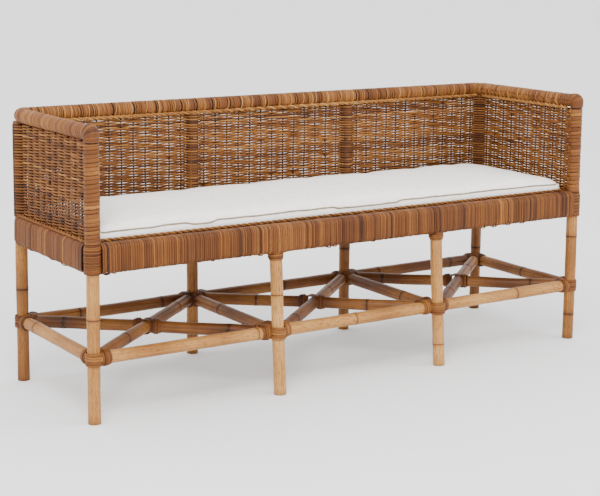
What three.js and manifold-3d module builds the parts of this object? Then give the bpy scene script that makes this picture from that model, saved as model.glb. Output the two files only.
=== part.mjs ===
// A rattan daybed: a pole frame on eight legs with braced stretchers, a wrapped seat band,
// woven back and arm panels under a wrapped top rail, and a loose seat pad.
// Millimetres. +X runs along the length, the front faces -Y, +Z is up.
// The parts are laid out from the middle of the four corner posts, at floor level.
import * as THREE from 'three';
import { mergeVertices } from 'three/addons/utils/BufferGeometryUtils.js';
import Module from 'manifold-3d';

const wasm = await Module();
wasm.setup();

// ---------------------------------------------------------------- driving dimensions
const GAP = 0.3; // left between pieces that touch
const POLE_RADIUS = 16;
const POLE_SIDES = 12;
const WRAP_RADIUS = 20; // outside of the peel wrapped round a pole
const BINDING_RADIUS = 20.8;
const BINDING_SIDES = 8;
const BINDING_REACH = 36; // from the joint's middle, along a stretcher
const BRACE_REACH = 50; // along a brace, which leaves the joint at an angle
const BINDING_HALF_HEIGHT = 17;
const BRACE_INSET = 9; // each brace stops this far short of the joint's middle
const CROSSING_REACH = 36; // from the place where two braces cross, along each
const CORNER_X = 778; // corner post axis, from the middle of the length
const CORNER_Y = 217.5; // corner post axis, from the middle of the depth
const MIDDLE_X = 263; // middle leg axis
const FRONT_LEG_FOOT = 32; // the front middle legs' feet stand this far forward of the rail
const FRONT_LEG_TOP = 4; // and their tops this far
const STRETCHER_Z = 162;
const BAND_BOTTOM_Z = 372;
const BAND_TOP_Z = 446;
const BAND_WIDTH = 44;
const BAND_WALL = 5.6; // peel wrapped round the seat rails
const BAND_CORNER = 15;
const CORNER_SEGMENTS = 2; // facets round a quarter turn of the band's outline
const RAIL_Z = 712; // axis of the top rail
const PANEL_THICKNESS = 11;
const SLEEVE_RADIUS = 19.6; // weave carried round a post
const DECK_TOP_Z = 438;
const DECK_THICKNESS = 8;
const CUSHION_SIZE = [1500, 386, 46];
const CUSHION_Y = 1; // its middle, from the middle of the depth
const CUSHION_CORNER = 30;
const CUSHION_BEVEL = 13;

// ---------------------------------------------------------------- worked-out dimensions
const FACE_CLEARANCE = POLE_RADIUS + GAP;
const BINDING_BORE = FACE_CLEARANCE / Math.cos(Math.PI / BINDING_SIDES);
const BAND_MIDDLE_Z = (BAND_BOTTOM_Z + BAND_TOP_Z) / 2;
const BAND_HEIGHT = BAND_TOP_Z - BAND_BOTTOM_Z;
const HOLLOW_WIDTH = BAND_WIDTH - 2 * BAND_WALL;
const HOLLOW_HEIGHT = BAND_HEIGHT - 2 * BAND_WALL;
const SEAT_RAIL_WIDTH = HOLLOW_WIDTH - 2 * GAP;
const SEAT_RAIL_HEIGHT = HOLLOW_HEIGHT - 2 * GAP;
const SEAT_RAIL_CORNER = BAND_CORNER - BAND_WALL;
const SEAT_RAIL_BOTTOM_Z = BAND_MIDDLE_Z - SEAT_RAIL_HEIGHT / 2;
const FRONT_LEG_SLOPE = (FRONT_LEG_FOOT - FRONT_LEG_TOP) / SEAT_RAIL_BOTTOM_Z;
const RAIL_UNDERSIDE_Z = RAIL_Z - WRAP_RADIUS - GAP;
const POST_TOP_Z = RAIL_Z - POLE_RADIUS - GAP;
const PANEL_BOTTOM_Z = BAND_TOP_Z + GAP;
const BEARER_Z = DECK_TOP_Z - DECK_THICKNESS - GAP - POLE_RADIUS;
const RAIL_END_Y = CORNER_Y + WRAP_RADIUS;

// ---------------------------------------------------------------- materials
const pole = new THREE.MeshStandardMaterial({ color: 0xc59a62, roughness: 0.55, metalness: 0 });
const peel = new THREE.MeshStandardMaterial({ color: 0xb27a48, roughness: 0.5, metalness: 0 });
const binding = new THREE.MeshStandardMaterial({ color: 0xa5693c, roughness: 0.5, metalness: 0 });
const weave = new THREE.MeshStandardMaterial({ color: 0xa87647, roughness: 0.6, metalness: 0 });
const core = new THREE.MeshStandardMaterial({ color: 0xb58c5c, roughness: 0.7, metalness: 0 });
const canvas = new THREE.MeshStandardMaterial({ color: 0xe7e3dc, roughness: 0.9, metalness: 0 });

const Z = new THREE.Vector3(0, 0, 1);

// ---------------------------------------------------------------- shapes
function named(name, geometry, material, position = [0, 0, 0]) {
  const mesh = new THREE.Mesh(geometry, material);
  mesh.name = name;
  mesh.position.set(...position);
  return mesh;
}

// A round pole along its own +Z, from 0 to length.
function poleGeometry(length, radius, sides) {
  const geometry = new THREE.CylinderGeometry(radius, radius, length, sides);
  return geometry.rotateX(Math.PI / 2).translate(0, 0, length / 2);
}

// A pole from one point to another.
function poleBetween(name, start, end, material = pole, radius = POLE_RADIUS, sides = POLE_SIDES) {
  const from = new THREE.Vector3(...start);
  const run = new THREE.Vector3(...end).sub(from);
  const mesh = named(name, poleGeometry(run.length(), radius, sides), material, start);
  mesh.quaternion.setFromUnitVectors(Z, run.normalize());
  return mesh;
}

// An upright pole with level ends, whose top stands lean millimetres further back than its foot.
function uprightPole(name, [x, y], bottom, top, lean = 0, radius = POLE_RADIUS, sides = POLE_SIDES) {
  const geometry = poleGeometry(top - bottom, radius, sides);
  const slope = lean / (top - bottom);
  geometry.applyMatrix4(new THREE.Matrix4().set(1, 0, 0, 0, 0, 1, slope, 0, 0, 0, 1, 0, 0, 0, 0, 1));
  return named(name, geometry, pole, [x, y, bottom]);
}

function circle(radius) {
  const points = [];
  for (let i = 0; i < POLE_SIDES; i += 1) {
    const angle = (i / POLE_SIDES) * 2 * Math.PI;
    points.push(new THREE.Vector2(radius * Math.cos(angle), radius * Math.sin(angle)));
  }
  return points;
}

function roundedRectangle(width, height, corner) {
  const [w, h] = [width / 2, height / 2];
  const outline = new THREE.Shape();
  outline.moveTo(w, corner - h);
  outline.lineTo(w, h - corner);
  outline.absarc(w - corner, h - corner, corner, 0, Math.PI / 2);
  outline.lineTo(corner - w, h);
  outline.absarc(corner - w, h - corner, corner, Math.PI / 2, Math.PI);
  outline.lineTo(-w, corner - h);
  outline.absarc(corner - w, corner - h, corner, Math.PI, 1.5 * Math.PI);
  outline.lineTo(w - corner, -h);
  outline.absarc(w - corner, corner - h, corner, 1.5 * Math.PI, 2 * Math.PI);
  return outline;
}

// An outline pushed along its own +Z.
function extrusion(outline, length) {
  return new THREE.ExtrudeGeometry(outline, {
    depth: length,
    bevelEnabled: false,
    curveSegments: CORNER_SEGMENTS,
  });
}

// A round sleeve between two points, open at both ends.
function sleeveBetween(name, start, end, material, outer, inner = FACE_CLEARANCE) {
  const from = new THREE.Vector3(...start);
  const run = new THREE.Vector3(...end).sub(from);
  const ring = new THREE.Shape(circle(outer));
  ring.holes.push(new THREE.Path(circle(inner)));
  const mesh = named(name, extrusion(ring, run.length()), material, start);
  mesh.quaternion.setFromUnitVectors(Z, run.normalize());
  return mesh;
}

// A bar of rounded-rectangle section, level, along X or along Y. Its section stands upright.
function levelBar(name, outline, start, end, material) {
  const from = new THREE.Vector3(...start);
  const run = new THREE.Vector3(...end).sub(from);
  const mesh = named(name, extrusion(outline, run.length()), material, start);
  const along = run.normalize();
  const across = new THREE.Vector3().crossVectors(Z, along);
  mesh.quaternion.setFromRotationMatrix(new THREE.Matrix4().makeBasis(across, Z, along));
  return mesh;
}

function box(name, low, high, material) {
  const size = high.map((value, i) => value - low[i]);
  const middle = high.map((value, i) => (value + low[i]) / 2);
  return named(name, new THREE.BoxGeometry(...size), material, middle);
}

// ---------------------------------------------------------------- cutting and joining
// A mesh as a solid in the assembly's frame.
function solidOf(mesh) {
  mesh.updateMatrix();
  const plain = mesh.geometry.clone();
  plain.deleteAttribute('normal');
  plain.deleteAttribute('uv');
  plain.applyMatrix4(mesh.matrix);
  const merged = mergeVertices(plain, 1e-4);
  return new wasm.Manifold(new wasm.Mesh({
    numProp: 3,
    vertProperties: merged.attributes.position.array,
    triVerts: new Uint32Array(merged.index.array),
  }));
}

// Gives a mesh the shape of a solid, keeping the mesh's own place.
function takeShape(mesh, solid) {
  const { vertProperties, triVerts } = solid.getMesh();
  const geometry = new THREE.BufferGeometry();
  geometry.setAttribute('position', new THREE.BufferAttribute(new Float32Array(vertProperties), 3));
  geometry.setIndex(new THREE.BufferAttribute(new Uint32Array(triVerts), 1));
  mesh.updateMatrix();
  geometry.applyMatrix4(mesh.matrix.clone().invert());
  geometry.computeVertexNormals();
  mesh.geometry = geometry;
  return mesh;
}

function cut(mesh, cutters) {
  return takeShape(mesh, cutters.reduce((solid, cutter) => solid.subtract(solidOf(cutter)), solidOf(mesh)));
}

function join(mesh, others) {
  return takeShape(mesh, others.reduce((solid, other) => solid.add(solidOf(other)), solidOf(mesh)));
}

// ---------------------------------------------------------------- legs and posts
const corners = {
  front_left: [-CORNER_X, -CORNER_Y],
  front_right: [CORNER_X, -CORNER_Y],
  back_left: [-CORNER_X, CORNER_Y],
  back_right: [CORNER_X, CORNER_Y],
};
const middles = {
  front_mid_left: [-MIDDLE_X, -CORNER_Y],
  front_mid_right: [MIDDLE_X, -CORNER_Y],
  back_mid_left: [-MIDDLE_X, CORNER_Y],
  back_mid_right: [MIDDLE_X, CORNER_Y],
};
const joints = { ...corners, ...middles };

// The upright at a joint, or a larger and longer one for cutting what meets it.
function upright(place, extra = 0, radius = POLE_RADIUS, sides = POLE_SIDES) {
  const [x, y] = joints[place];
  if (!place.startsWith('front_mid')) {
    return uprightPole(`${place}_post`, [x, y], 0, POST_TOP_Z + extra, 0, radius, sides);
  }
  const height = SEAT_RAIL_BOTTOM_Z - GAP;
  const lean = FRONT_LEG_SLOPE * (height + extra);
  return uprightPole(`${place}_leg`, [x, y - FRONT_LEG_FOOT], 0, height + extra, lean, radius, sides);
}

// What clears an upright: the same pole, larger by the gap, and standing on past its top.
function uprightCutter(place, radius = FACE_CLEARANCE, sides = POLE_SIDES) {
  return upright(place, POLE_RADIUS, radius, sides);
}

// ---------------------------------------------------------------- stretchers and braces
const at = (place) => [...joints[place], STRETCHER_Z];
const crossing = (a, b, c, d) => [(a[0] + b[0] + c[0] + d[0]) / 4, 0, STRETCHER_Z];

// Every lower pole: its name, its two ends, and the uprights and poles that it is cut to fit.
const lowerPoles = [
  ['front_stretcher', at('front_left'), at('front_right')],
  ['back_left_stretcher', at('back_left'), at('back_mid_left')],
  ['back_middle_stretcher', at('back_mid_left'), at('back_mid_right')],
  ['back_right_stretcher', at('back_mid_right'), at('back_right')],
  ['left_side_stretcher', at('front_left'), at('back_left')],
  ['right_side_stretcher', at('front_right'), at('back_right')],
  ['left_cross_stretcher', at('front_mid_left'), at('back_mid_left')],
  ['right_cross_stretcher', at('front_mid_right'), at('back_mid_right')],
];
const bays = [
  ['left', 'front_left', 'back_left', 'front_mid_left', 'back_mid_left'],
  ['middle', 'front_mid_left', 'back_mid_left', 'front_mid_right', 'back_mid_right'],
  ['right', 'front_mid_right', 'back_mid_right', 'front_right', 'back_right'],
];
// In each bay one brace runs through from the near left to the far right, and two halves meet it.
const throughBraces = [];
const halfBraces = [];
for (const [bay, nearLeft, farLeft, nearRight, farRight] of bays) {
  const centre = crossing(at(nearLeft), at(farLeft), at(nearRight), at(farRight));
  throughBraces.push([`${bay}_through_brace`, at(nearLeft), at(farRight)]);
  halfBraces.push([`${bay}_back_half_brace`, centre, at(farLeft)]);
  halfBraces.push([`${bay}_front_half_brace`, centre, at(nearRight)]);
}
const allLower = [...lowerPoles, ...throughBraces, ...halfBraces];

const distance = (a, b) => Math.hypot(a[0] - b[0], a[1] - b[1]);

// How near a point comes to the line of a pole, in plan.
function planDistance(point, [, start, end]) {
  const from = new THREE.Vector3(start[0], start[1], 0);
  const to = new THREE.Vector3(end[0], end[1], 0);
  const flat = new THREE.Vector3(point[0], point[1], 0);
  const nearest = new THREE.Line3(from, to).closestPointToPoint(flat, true, new THREE.Vector3());
  return nearest.distanceTo(flat);
}

const touching = (spec, point) => planDistance(point, spec) < 1;

// A lower pole, cut to fit the uprights at its ends or beside it and every pole fitted before it.
function fittedPole(spec, index) {
  const [name, start, end] = spec;
  const places = Object.keys(joints).filter((place) => touching(spec, joints[place]));
  const uprights = places.map((place) => uprightCutter(place));
  const earlier = allLower.slice(0, index).filter((other) => touching(other, start) || touching(other, end));
  const cutters = earlier.map(([, a, b]) => poleBetween('cutter', a, b, pole, FACE_CLEARANCE));
  const inset = name.includes('brace') ? BRACE_INSET / distance(start, end) : 0;
  const ends = [inset, 1 - inset].map((k) => start.map((value, axis) => value + k * (end[axis] - value)));
  return cut(poleBetween(name, ...ends), [...uprights, ...cutters]);
}

// ---------------------------------------------------------------- bindings

function armReach(poleName, place) {
  if (!place) return CROSSING_REACH;
  return poleName.includes('brace') ? BRACE_REACH : BINDING_REACH;
}

// The lashing at a joint: a hub and an arm along each pole that meets it, hollowed for the poles.
// At a crossing the hub already runs along the through brace.
function lashing(name, point, hub, place) {
  const poles = allLower.filter((spec) => touching(spec, point));
  const arms = [];
  for (const [poleName, start, end] of poles) {
    if (!place && poleName.includes('through')) continue;
    const reach = armReach(poleName, place);
    for (const far of [start, end]) {
      const length = distance(far, point);
      if (length < reach) continue;
      const k = reach / length;
      const tip = [point[0] + k * (far[0] - point[0]), point[1] + k * (far[1] - point[1]), STRETCHER_Z];
      arms.push(poleBetween('arm', point, tip, binding, BINDING_RADIUS, BINDING_SIDES));
    }
  }
  const cutters = poles.map(([, a, b]) => poleBetween('cutter', a, b, pole, BINDING_BORE, BINDING_SIDES));
  const uprights = place ? [uprightCutter(place, BINDING_BORE, BINDING_SIDES)] : [];
  hub.name = name;
  hub.material = binding;
  return cut(join(hub, arms), [...cutters, ...uprights]);
}

function legLashing(place) {
  const [x, y] = joints[place];
  const [bottom, top] = [STRETCHER_Z - BINDING_HALF_HEIGHT, STRETCHER_Z + BINDING_HALF_HEIGHT];
  const leans = place.startsWith('front_mid');
  const forward = leans ? FRONT_LEG_FOOT - FRONT_LEG_SLOPE * bottom : 0;
  const lean = leans ? FRONT_LEG_SLOPE * (top - bottom) : 0;
  const hub = uprightPole('hub', [x, y - forward], bottom, top, lean, BINDING_RADIUS, BINDING_SIDES);
  return lashing(`${place}_binding`, at(place), hub, place);
}

function crossingLashing([, start, end], bay) {
  const point = [(start[0] + end[0]) / 2, (start[1] + end[1]) / 2, STRETCHER_Z];
  const ends = [-1, 1].map((side) => [
    point[0] + side * CROSSING_REACH * (end[0] - start[0]) / distance(start, end),
    point[1] + side * CROSSING_REACH * (end[1] - start[1]) / distance(start, end),
    STRETCHER_Z,
  ]);
  const hub = poleBetween('hub', ...ends, binding, BINDING_RADIUS, BINDING_SIDES);
  return lashing(`${bay}_crossing_binding`, point, hub);
}

// ---------------------------------------------------------------- seat frame
const seatRailOutline = roundedRectangle(SEAT_RAIL_WIDTH, SEAT_RAIL_HEIGHT, SEAT_RAIL_CORNER);
const bandOutline = roundedRectangle(BAND_WIDTH, BAND_HEIGHT, BAND_CORNER);
bandOutline.holes.push(new THREE.Path(
  roundedRectangle(HOLLOW_WIDTH, HOLLOW_HEIGHT, SEAT_RAIL_CORNER).getPoints(CORNER_SEGMENTS),
));

const seatRailLevel = (place) => [...joints[place], BAND_MIDDLE_Z];

// What clears a whole seat rail from one upright to another: its outline, larger by the gap.
const seatRailCutter = (from, to) => levelBar(
  'cutter',
  roundedRectangle(HOLLOW_WIDTH, HOLLOW_HEIGHT, SEAT_RAIL_CORNER),
  seatRailLevel(from),
  seatRailLevel(to),
  core,
);
const frontRailCutter = () => seatRailCutter('front_left', 'front_right');
const backRailCutter = () => seatRailCutter('back_left', 'back_right');

// A seat rail between two uprights, coped to them and to any rail that it meets.
function seatRail(name, from, to, met = []) {
  const bar = levelBar(name, seatRailOutline, seatRailLevel(from), seatRailLevel(to), core);
  return cut(bar, [uprightCutter(from), uprightCutter(to), ...met]);
}

// The length of band along one side, in plan, from start to end, opened where poles pass its walls.
function seatBand(name, start, end, cutters) {
  const bar = levelBar(name, bandOutline, [...start, BAND_MIDDLE_Z], [...end, BAND_MIDDLE_Z], peel);
  return cut(bar, cutters);
}

const bearerEnds = [[0, -CORNER_Y, BEARER_Z], [0, CORNER_Y, BEARER_Z]];
const bearerCutter = () => poleBetween('cutter', ...bearerEnds, pole, FACE_CLEARANCE);

function seatBearer() {
  return cut(poleBetween('seat_bearer', ...bearerEnds), [frontRailCutter(), backRailCutter()]);
}

function seatDeck() {
  const inset = BAND_WIDTH / 2 + GAP;
  const [x, y] = [CORNER_X - inset, CORNER_Y - inset];
  const low = [-x, -y, DECK_TOP_Z - DECK_THICKNESS];
  return box('woven_seat_deck', low, [x, y, DECK_TOP_Z], weave);
}

// ---------------------------------------------------------------- top rail, wraps and panels
// The wrap round a front post, opened where the two seat rails reach the post.
function frontPostWrap(place, back) {
  const [x, y] = joints[place];
  const ends = [[x, y, BAND_BOTTOM_Z], [x, y, RAIL_UNDERSIDE_Z]];
  const wrap = sleeveBetween(`${place}_post_wrap`, ...ends, peel, WRAP_RADIUS);
  return cut(wrap, [frontRailCutter(), seatRailCutter(place, back)]);
}

const armRailEnds = (side) => [
  [side * CORNER_X, -CORNER_Y - POLE_RADIUS, RAIL_Z],
  [side * CORNER_X, CORNER_Y + POLE_RADIUS, RAIL_Z],
];
const backRailEnds = [[-CORNER_X, CORNER_Y, RAIL_Z], [CORNER_X, CORNER_Y, RAIL_Z]];
const backRailHole = () => poleBetween('cutter', ...backRailEnds, pole, FACE_CLEARANCE);

function backRail() {
  const arms = [-1, 1].map((side) => poleBetween('cutter', ...armRailEnds(side), pole, FACE_CLEARANCE));
  return cut(poleBetween('back_rail', ...backRailEnds), arms);
}

function armRailWrap(name, side, front, back) {
  const x = side * CORNER_X;
  const wrap = sleeveBetween(name, [x, -RAIL_END_Y, RAIL_Z], [x, RAIL_END_Y, RAIL_Z], peel, WRAP_RADIUS);
  return cut(wrap, [uprightCutter(front), uprightCutter(back), backRailHole()]);
}

function backRailWrap() {
  const x = CORNER_X - WRAP_RADIUS - GAP;
  const ends = [[-x, CORNER_Y, RAIL_Z], [x, CORNER_Y, RAIL_Z]];
  const wrap = sleeveBetween('back_rail_wrap', ...ends, peel, WRAP_RADIUS);
  return cut(wrap, [uprightCutter('back_mid_left'), uprightCutter('back_mid_right')]);
}

// Weave carried round an upright, between the seat band and the top rail.
function weaveRound(place) {
  const [x, y] = joints[place];
  return poleBetween('sleeve', [x, y, PANEL_BOTTOM_Z], [x, y, RAIL_UNDERSIDE_Z], weave, SLEEVE_RADIUS);
}

// The back panel takes in all four back posts, so that the weave turns the corners.
function backPanel() {
  const half = PANEL_THICKNESS / 2;
  const low = [-CORNER_X, CORNER_Y - half, PANEL_BOTTOM_Z];
  const slab = box('back_woven_panel', low, [CORNER_X, CORNER_Y + half, RAIL_UNDERSIDE_Z], weave);
  const places = ['back_left', 'back_mid_left', 'back_mid_right', 'back_right'];
  return cut(join(slab, places.map(weaveRound)), places.map((place) => uprightCutter(place)));
}

function sidePanel(name, side) {
  const half = PANEL_THICKNESS / 2;
  const low = [side * CORNER_X - half, -CORNER_Y + WRAP_RADIUS + GAP, PANEL_BOTTOM_Z];
  const high = [side * CORNER_X + half, CORNER_Y - SLEEVE_RADIUS - GAP, RAIL_UNDERSIDE_Z];
  return box(name, low, high, weave);
}

// ---------------------------------------------------------------- cushion
// A flat pad with rounded corners and softened edges, resting on the deck.
function cushion() {
  const [length, depth, height] = CUSHION_SIZE;
  const outline = roundedRectangle(length - 2 * CUSHION_BEVEL, depth - 2 * CUSHION_BEVEL, CUSHION_CORNER);
  const geometry = new THREE.ExtrudeGeometry(outline, {
    depth: height - 2 * CUSHION_BEVEL,
    bevelThickness: CUSHION_BEVEL,
    bevelSize: CUSHION_BEVEL,
    bevelSegments: 2,
    curveSegments: 4,
  });
  return named('seat_cushion', geometry, canvas, [0, CUSHION_Y, DECK_TOP_Z + GAP + CUSHION_BEVEL]);
}

// ---------------------------------------------------------------- assembly
const undercarriage = new THREE.Group();
for (const place of Object.keys(joints)) undercarriage.add(upright(place));
allLower.forEach((spec, index) => undercarriage.add(fittedPole(spec, index)));
for (const place of Object.keys(joints)) undercarriage.add(legLashing(place));
throughBraces.forEach((spec, index) => undercarriage.add(crossingLashing(spec, bays[index][0])));

const seat = new THREE.Group();
seat.add(seatRail('front_seat_rail', 'front_left', 'front_right'));
seat.add(seatRail('back_left_seat_rail', 'back_left', 'back_mid_left'));
seat.add(seatRail('back_middle_seat_rail', 'back_mid_left', 'back_mid_right'));
seat.add(seatRail('back_right_seat_rail', 'back_mid_right', 'back_right'));
const longRails = [frontRailCutter(), backRailCutter()];
seat.add(seatRail('left_seat_rail', 'front_left', 'back_left', longRails));
seat.add(seatRail('right_seat_rail', 'front_right', 'back_right', longRails));
const bandInset = BAND_WIDTH / 2 + GAP;
const sideBandStart = bandInset - CORNER_Y;
const sideBandEnd = CORNER_Y + BAND_WIDTH / 2;
const longBandEnd = CORNER_X - bandInset;
seat.add(seatBand(
  'front_seat_band',
  [-longBandEnd, -CORNER_Y],
  [longBandEnd, -CORNER_Y],
  [uprightCutter('front_mid_left'), uprightCutter('front_mid_right'), bearerCutter()],
));
seat.add(seatBand(
  'back_seat_band',
  [-longBandEnd, CORNER_Y],
  [longBandEnd, CORNER_Y],
  [uprightCutter('back_mid_left'), uprightCutter('back_mid_right'), bearerCutter()],
));
seat.add(seatBand(
  'left_seat_band',
  [-CORNER_X, sideBandStart],
  [-CORNER_X, sideBandEnd],
  [uprightCutter('back_left'), backRailCutter()],
));
seat.add(seatBand(
  'right_seat_band',
  [CORNER_X, sideBandStart],
  [CORNER_X, sideBandEnd],
  [uprightCutter('back_right'), backRailCutter()],
));
seat.add(seatBearer());
seat.add(seatDeck());

const upper = new THREE.Group();
upper.add(poleBetween('left_arm_rail', ...armRailEnds(-1)));
upper.add(poleBetween('right_arm_rail', ...armRailEnds(1)));
upper.add(backRail());
upper.add(armRailWrap('left_arm_rail_wrap', -1, 'front_left', 'back_left'));
upper.add(armRailWrap('right_arm_rail_wrap', 1, 'front_right', 'back_right'));
upper.add(backRailWrap());
upper.add(frontPostWrap('front_left', 'back_left'));
upper.add(frontPostWrap('front_right', 'back_right'));
upper.add(backPanel());
upper.add(sidePanel('left_woven_panel', -1));
upper.add(sidePanel('right_woven_panel', 1));

const daybed = new THREE.Group();
daybed.add(undercarriage, seat, upper, cushion());

// The origin is the middle of the whole daybed's box, on the floor.
const bounds = new THREE.Box3().setFromObject(daybed);
const middle = bounds.getCenter(new THREE.Vector3());
daybed.position.set(-middle.x, -middle.y, -bounds.min.z);

export default daybed;
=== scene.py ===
import math
import random

import bpy
import numpy as np
from mathutils import Matrix, Vector, kdtree


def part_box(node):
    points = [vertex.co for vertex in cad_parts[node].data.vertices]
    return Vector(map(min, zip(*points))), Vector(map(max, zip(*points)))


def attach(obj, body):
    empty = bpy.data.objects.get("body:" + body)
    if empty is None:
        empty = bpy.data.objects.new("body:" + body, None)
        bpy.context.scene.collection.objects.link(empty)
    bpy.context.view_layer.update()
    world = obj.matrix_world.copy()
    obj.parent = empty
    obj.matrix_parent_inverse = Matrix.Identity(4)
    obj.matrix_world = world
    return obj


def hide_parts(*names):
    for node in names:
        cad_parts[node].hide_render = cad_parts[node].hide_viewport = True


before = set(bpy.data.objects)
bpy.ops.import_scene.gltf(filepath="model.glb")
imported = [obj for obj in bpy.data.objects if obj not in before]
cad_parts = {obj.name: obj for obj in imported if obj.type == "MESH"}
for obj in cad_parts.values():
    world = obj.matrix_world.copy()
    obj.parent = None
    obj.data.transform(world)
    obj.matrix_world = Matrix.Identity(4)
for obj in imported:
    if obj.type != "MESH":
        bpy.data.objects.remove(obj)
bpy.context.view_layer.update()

MM = 0.001
POLE = 16.0 * MM  # radius of a bare pole
RAIL = 20.0 * MM  # radius of a rail with its peel wound on
STRIP = 2.4 * MM  # thickness of a peel strip
STAKE = 2.7 * MM  # radius of an upright in the weave
STRAND = 2.2 * MM  # radius of a weaving strand
ROW = 3.75 * MM  # height from one woven row to the next
STAKE_STEP = 37.5 * MM  # from one upright to the next
CORNER_BEND = 22.0 * MM  # bend of the top rail at the back corners
CROWN = 20.0 * MM  # how much the pad is thicker in the middle, before it is blown up
ELBOW_BEND = 14.0 * MM  # bend of the top rail down into the front posts
LASH = POLE + STRIP + 0.6 * MM  # outer radius of the lashings' turns round a pole
STRAP = POLE + STRIP + 2.6 * MM  # outer radius of the straps over them
UP = Vector((0, 0, 1))
X, Y = Vector((1, 0, 0)), Vector((0, 1, 0))


# ---- geometry

class Pile:
    """Strips and tubes gathered into one mesh, with a tone and a grain at every point."""

    def __init__(self, seed):
        self.points = []
        self.quads = []
        self.tones = []
        self.grains = []
        self.total = 0
        self.random = random.Random(seed)

    def mm(self, low, high):
        """A random length between two numbers of millimetres."""
        return self.random.uniform(low, high) * MM

    def sweep(self, path, outward, section, tone):
        """Carries a section of (side, out) points along a path; outward is the section's out direction."""
        path = np.asarray(path, float)
        count = len(path)
        outward = np.broadcast_to(np.asarray(outward, float), path.shape)
        section = np.asarray(section, float)
        section = np.broadcast_to(section, (count,) + section.shape[-2:])
        sides = section.shape[1]
        tangent = unit(np.gradient(path, axis=0))
        out = unit(outward - (outward * tangent).sum(1)[:, None] * tangent)
        side = np.cross(tangent, out)
        points = path[:, None] + side[:, None] * section[..., :1] + out[:, None] * section[..., 1:]
        ring = np.arange(count * sides).reshape(count, sides) + self.total
        near, far = ring[:-1], ring[1:]
        quads = np.stack([near, far, np.roll(far, -1, 1), np.roll(near, -1, 1)], -1).reshape(-1, 4)
        caps = []
        for k in range(0, sides - 2, 2):
            caps.append([ring[0, 0], ring[0, k + 1], ring[0, k + 2], ring[0, (k + 3) % sides]])
            caps.append([ring[-1, (k + 3) % sides], ring[-1, k + 2], ring[-1, k + 1], ring[-1, 0]])
        along = distances(path)
        grain = np.empty((count, sides, 3))
        grain[..., 0] = along[:, None] + self.random.uniform(0, 40)
        grain[..., 1:] = section
        tone = np.broadcast_to(np.asarray(tone, float).reshape(-1, 1), (count, sides))
        self.points.append(points.reshape(-1, 3))
        self.quads.append(quads)
        self.quads.append(np.array(caps))
        self.tones.append(tone.reshape(-1))
        self.grains.append(grain.reshape(-1, 3))
        self.total += count * sides

    def piece(self, name, material, slot, body="frame", stands_for=()):
        """Makes the mesh object, and tells the frame which body it rides and which nodes it stands for."""
        mesh = bpy.data.meshes.new(name)
        mesh.from_pydata(np.concatenate(self.points), [], np.concatenate(self.quads))
        mesh.validate()
        tone = mesh.attributes.new("tone", "FLOAT", "POINT")
        tone.data.foreach_set("value", np.concatenate(self.tones).astype(np.float32))
        grain = mesh.attributes.new("grain", "FLOAT_VECTOR", "POINT")
        grain.data.foreach_set("vector", np.concatenate(self.grains).astype(np.float32).ravel())
        hand_in(placed(name, mesh), material, body, stands_for)


def placed(name, data):
    """A new object in the scene, of this mesh, camera or light."""
    thing = bpy.data.objects.new(name, data)
    bpy.context.scene.collection.objects.link(thing)
    return thing


def hand_in(piece, material, body, stands_for):
    mesh = piece.data
    mesh.polygons.foreach_set("use_smooth", [True] * len(mesh.polygons))
    mesh.materials.clear()
    mesh.materials.append(material)
    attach(piece, body)
    if stands_for:
        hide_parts(*stands_for)


def unit(vectors):
    return vectors / np.maximum(np.linalg.norm(vectors, axis=-1, keepdims=True), 1e-12)


def distances(points):
    """How far each point is along the line through all of them."""
    return np.concatenate([[0], np.cumsum(np.linalg.norm(np.diff(points, axis=0), axis=1))])


def sampled(s, stations, vectors):
    """Vectors that are known at some stations, read off at others."""
    return np.stack([np.interp(s, stations, column) for column in vectors.T], -1)


def bell(x, middle, width):
    """1 at the middle, falling away smoothly on both sides."""
    return np.exp(-((x - middle) / width) ** 2)


def circle(radius, sides):
    """A round section; radius may be one number or one for each station."""
    angle = np.arange(sides) / sides * 2 * math.pi
    shape = np.stack([np.cos(angle), np.sin(angle)], -1)
    return np.asarray(radius, float).reshape(-1, 1, 1) * shape


def strip(width, thickness=STRIP):
    """A flat peel strip with rounded edges, its outer face at 0; width may be one for each station."""
    shape = np.array([(1, -1), (0.97, -0.5), (0.55, 0), (-0.55, 0), (-0.97, -0.5), (-1, -1)])
    half = np.asarray(width, float).reshape(-1, 1, 1) / 2
    return half * shape * (1, 0) + shape * (0, thickness)


class Line:
    """A smooth line with two cross directions carried along it without twist."""

    def __init__(self, points, first_cross, step=3 * MM):
        points = np.asarray(points, float)
        lengths = distances(points)
        self.length = lengths[-1]
        self.s = np.linspace(0, self.length, max(3, int(self.length / step)))
        self.p = sampled(self.s, lengths, points)
        self.t = unit(np.gradient(self.p, axis=0))
        cross = np.asarray(first_cross, float)
        self.a = np.empty_like(self.p)
        for i, tangent in enumerate(self.t):
            cross = cross - cross.dot(tangent) * tangent
            cross = cross / np.linalg.norm(cross)
            self.a[i] = cross
        self.b = np.cross(self.t, self.a)

    def at(self, s):
        return [sampled(s, self.s, vectors) for vectors in (self.p, self.a, self.b)]


def around(line, s, angle, radius):
    """Points at these angles round a line, and their outward directions."""
    centre, a, b = line.at(s)
    out = a * np.cos(angle)[:, None] + b * np.sin(angle)[:, None]
    reach = radius(s, out) if callable(radius) else np.full(len(s), radius)
    return centre + out * reach[:, None], out


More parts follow.
